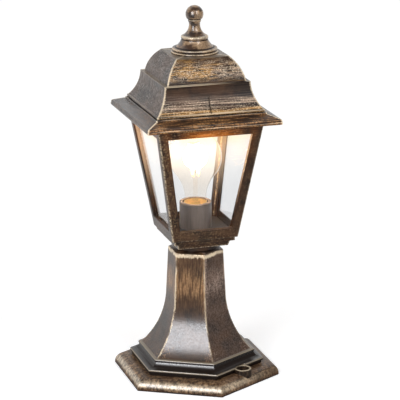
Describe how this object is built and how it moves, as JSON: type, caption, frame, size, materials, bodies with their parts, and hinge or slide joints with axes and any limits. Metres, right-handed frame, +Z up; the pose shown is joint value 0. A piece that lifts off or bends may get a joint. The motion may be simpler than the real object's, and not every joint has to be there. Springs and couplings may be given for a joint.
{
  "type": "pedestal path light",
  "caption": "Low garden light: a square tapered glazed lantern with a curved roof and ball finial on a six-sided flared column and foot, with a screw-in bulb.",
  "frame": {"origin": "on the ground under the middle of the foot", "axes": "+Z up along the column, -Y out of the front pane, +X out of the right pane"},
  "size_m": [0.1688, 0.195, 0.4266],
  "materials": {
    "bronze_foot": "satin",
    "bronze_column": "satin",
    "bronze_cage": "satin",
    "bronze_roof": "satin",
    "pane_glass": "gloss",
    "floor_paint": "satin",
    "holder_plastic": "satin",
    "brass": "satin",
    "cap_metal": "satin",
    "insulator_black": "gloss",
    "bulb_glass": "gloss",
    "filament_glow": "matte",
    "steel": "satin",
    "seal_rubber": "matte",
    "terminal_plastic": "matte",
    "wire_brown": "satin",
    "wire_blue": "satin",
    "wire_green": "satin"
  },
  "bodies": {
    "lantern": {"foot": "bronze_foot", "column": "bronze_column", "cage": "bronze_cage", "neck_collar": "bronze_cage", "eave_frame": "bronze_roof", "pane_front": "pane_glass", "pane_right": "pane_glass", "pane_back": "pane_glass", "pane_left": "pane_glass", "floor_plate": "floor_paint", "lamp_holder": "holder_plastic", "holder_shell": "brass", "holder_contact": "brass", "bulb_button": "brass", "bulb_cap": "cap_metal", "bulb_insulator": "insulator_black", "bulb_glass": "bulb_glass", "bulb_stem": "bulb_glass", "bulb_filaments": "filament_glow", "column_screws": "steel", "block_screw": "steel", "earth_screw": "steel", "terminal_screws": "steel", "threaded_tube": "steel", "lower_nut": "steel", "lower_washer": "steel", "upper_nut": "steel", "eave_screws": "steel", "roof_strap": "steel", "strap_screws": "steel", "roof_nut": "steel", "bulb_supports": "steel", "roof_gasket": "seal_rubber", "terminal_block": "terminal_plastic", "live_wire": "wire_brown", "neutral_wire": "wire_blue", "earth_wire": "wire_green"},
    "roof": {"roof": "bronze_roof"},
    "finial_seal": {"finial_seal": "seal_rubber"},
    "finial": {"finial": "bronze_roof", "finial_stud": "steel", "stud_clip": "steel"}
  },
  "joints": [
    {"name": "roof_lift", "type": "slide", "parent": "lantern", "child": "roof", "axis": [0, 0, 1], "range_m": [0, 0.12]},
    {"name": "finial_rise", "type": "slide", "parent": "roof", "child": "finial_seal", "axis": [0, 0, 1], "range_m": [0, 0.008]},
    {"name": "finial_turn", "type": "hinge", "parent": "finial_seal", "child": "finial", "pos_m": [0, 0, 0.3726], "axis": [0, 0, 1], "range_deg": [0, 2880]}
  ],
  "couplings": [
    {"joint": "finial_rise", "follows": "finial_turn", "m_per_rad": 0.000159}
  ]
}
